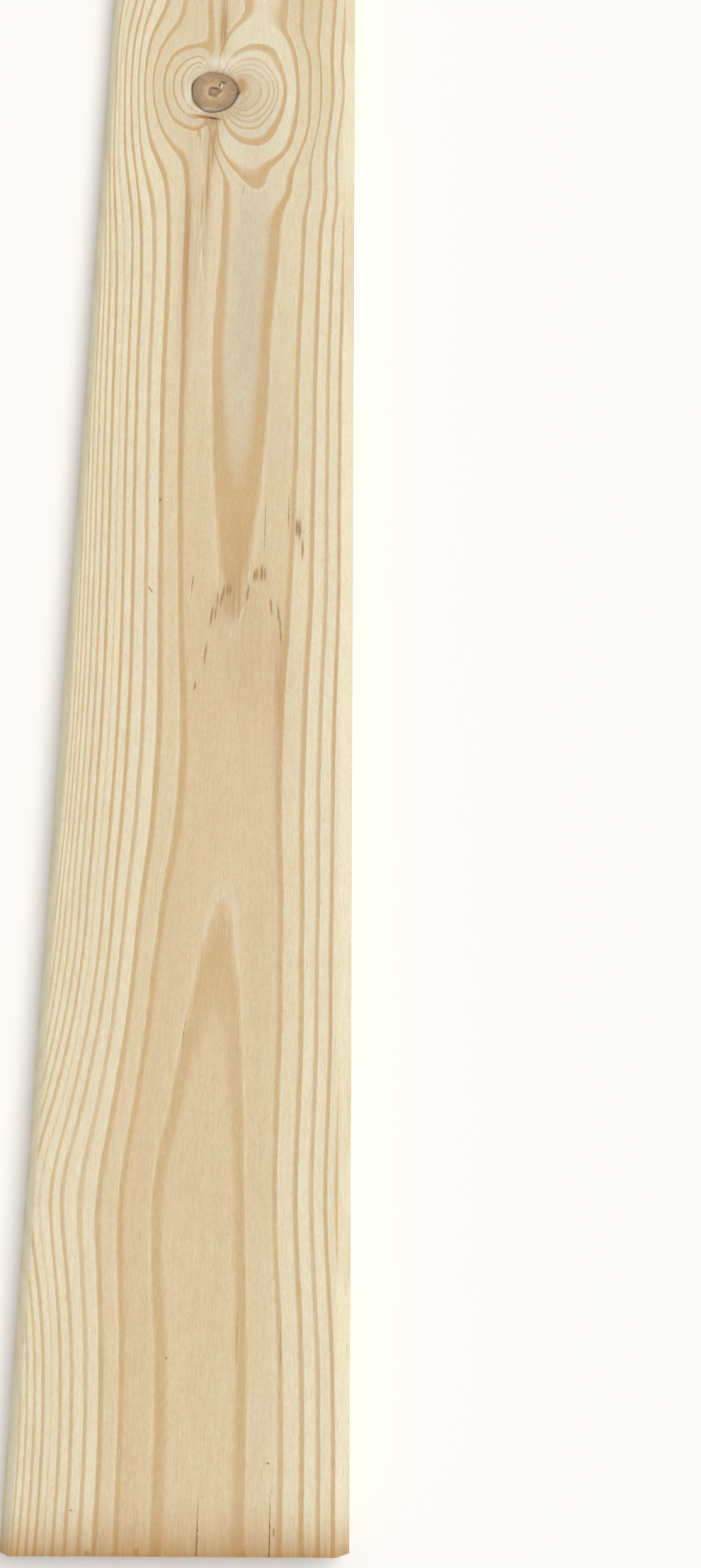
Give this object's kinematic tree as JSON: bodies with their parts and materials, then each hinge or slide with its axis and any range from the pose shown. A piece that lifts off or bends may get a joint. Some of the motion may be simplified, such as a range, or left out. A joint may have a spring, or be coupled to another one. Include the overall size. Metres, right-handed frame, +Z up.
{
  "type": "pine board",
  "caption": "Straight planed softwood board with chamfered show-face edges and square-cut ends, for cladding, shelving and joinery.",
  "frame": {"origin": "middle of the back face, where the board lies on the floor", "axes": "+X across the width, +Y along the grain and the length, +Z up out of the show face"},
  "size_m": [0.12, 1.2, 0.02],
  "materials": {
    "planed_pine": "planed, unfinished, matt"
  },
  "bodies": {
    "root": {"pine_board": "planed_pine"}
  },
  "joints": []
}
